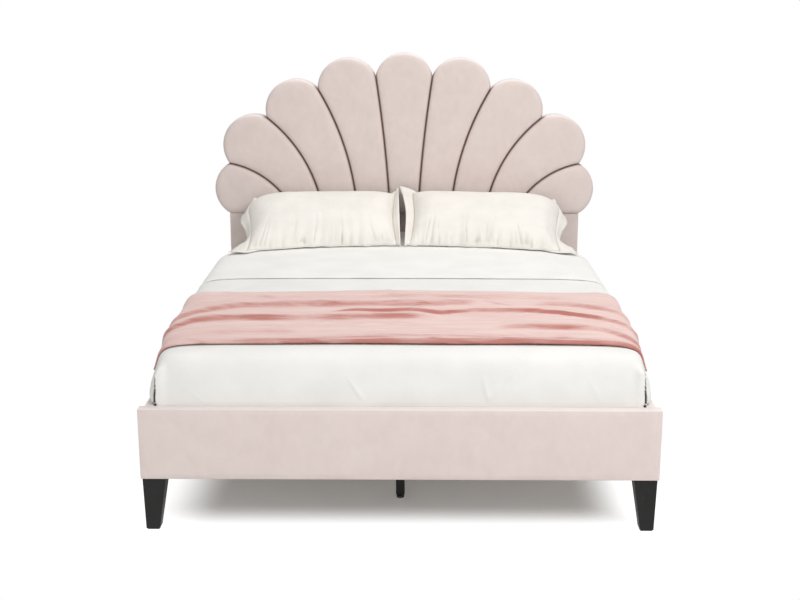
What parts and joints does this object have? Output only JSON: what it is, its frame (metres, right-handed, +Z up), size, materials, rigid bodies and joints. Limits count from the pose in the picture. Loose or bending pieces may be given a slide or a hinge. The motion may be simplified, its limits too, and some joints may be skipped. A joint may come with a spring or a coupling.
{
  "type": "upholstered bed",
  "caption": "Queen-size upholstered bed with a scalloped petal-fan headboard, low footboard and side rails, tapered legs, mattress, coverlet, throw and pillows.",
  "frame": {"origin": "on the floor, under the middle of the bed's outer box", "axes": "+Z up, +Y from the foot of the bed to its head, +X to the right as seen from the foot"},
  "size_m": [1.7574, 2.174, 1.3925],
  "materials": {
    "blush_velvet": "matte",
    "pine": "matte",
    "plywood": "matte",
    "slat_wood": "matte",
    "black_lining": "matte",
    "black_wood": "satin",
    "black_nylon": "matte",
    "zinc_steel": "satin",
    "webbing": "matte",
    "foam": "matte",
    "ticking": "matte",
    "white_sheet": "matte",
    "white_coverlet": "matte",
    "rose_plush": "matte",
    "fibre_filling": "matte",
    "ivory_cotton": "matte"
  },
  "bodies": {
    "frame": {"beam_hangers": "zinc_steel", "bracket_bolts": "zinc_steel", "bracket_screws": "zinc_steel", "bracket_washers": "zinc_steel", "centre_beam": "pine", "centre_leg_front": "black_wood", "centre_leg_middle": "black_wood", "centre_leg_rear": "black_wood", "corner_blocks": "pine", "corner_brackets": "zinc_steel", "footboard_core": "pine", "footboard_cover": "blush_velvet", "headboard_back_lining": "black_lining", "headboard_board": "plywood", "headboard_border": "blush_velvet", "headboard_crossbars": "pine", "headboard_lower_panel": "blush_velvet", "headboard_post_left": "pine", "headboard_post_right": "pine", "headboard_rim": "pine", "ledger_screws": "zinc_steel", "leg_front_left": "black_wood", "leg_front_right": "black_wood", "leg_glides": "black_nylon", "leg_rear_left": "black_wood", "leg_rear_right": "black_wood", "leg_studs": "zinc_steel", "petal_1": "blush_velvet", "petal_2": "blush_velvet", "petal_3": "blush_velvet", "petal_4": "blush_velvet", "petal_5": "blush_velvet", "petal_6": "blush_velvet", "petal_7": "blush_velvet", "petal_8": "blush_velvet", "petal_9": "blush_velvet", "petal_boards": "plywood", "petal_screws": "zinc_steel", "side_rail_left_core": "pine", "side_rail_left_cover": "blush_velvet", "side_rail_right_core": "pine", "side_rail_right_cover": "blush_velvet", "slat_ledger_left": "pine", "slat_ledger_right": "pine", "slat_straps": "webbing", "slats": "slat_wood"},
    "mattress": {"mattress_core": "foam", "mattress_topper": "foam", "mattress_ticking": "ticking", "fitted_sheet": "white_sheet"},
    "coverlet": {"coverlet": "white_coverlet", "top_sheet": "white_sheet"},
    "throw": {"throw_blanket": "rose_plush"},
    "pillow_left": {"pillow_left_filling": "fibre_filling", "pillow_left_case": "ivory_cotton"},
    "pillow_right": {"pillow_right_filling": "fibre_filling", "pillow_right_case": "ivory_cotton"},
    "foot_front": {"levelling_foot_front": "black_nylon"},
    "foot_middle": {"levelling_foot_middle": "black_nylon"},
    "foot_rear": {"levelling_foot_rear": "black_nylon"}
  },
  "joints": [
    {"name": "mattress_lift", "type": "slide", "parent": "frame", "child": "mattress", "axis": [0, 0, 1], "range_m": [0, 0.25]},
    {"name": "coverlet_lift", "type": "slide", "parent": "mattress", "child": "coverlet", "axis": [0, 0, 1], "range_m": [0, 0.3]},
    {"name": "throw_lift", "type": "slide", "parent": "coverlet", "child": "throw", "axis": [0, 0, 1], "range_m": [0, 0.25]},
    {"name": "pillow_left_lift", "type": "slide", "parent": "coverlet", "child": "pillow_left", "axis": [0, -0.35, 0.9367], "range_m": [0, 0.3]},
    {"name": "pillow_right_lift", "type": "slide", "parent": "coverlet", "child": "pillow_right", "axis": [0, -0.35, 0.9367], "range_m": [0, 0.3]},
    {"name": "foot_front_adjust", "type": "slide", "parent": "frame", "child": "foot_front", "axis": [0, 0, 1], "range_m": [-0.012, 0.005]},
    {"name": "foot_middle_adjust", "type": "slide", "parent": "frame", "child": "foot_middle", "axis": [0, 0, 1], "range_m": [-0.012, 0.005]},
    {"name": "foot_rear_adjust", "type": "slide", "parent": "frame", "child": "foot_rear", "axis": [0, 0, 1], "range_m": [-0.012, 0.005]}
  ]
}
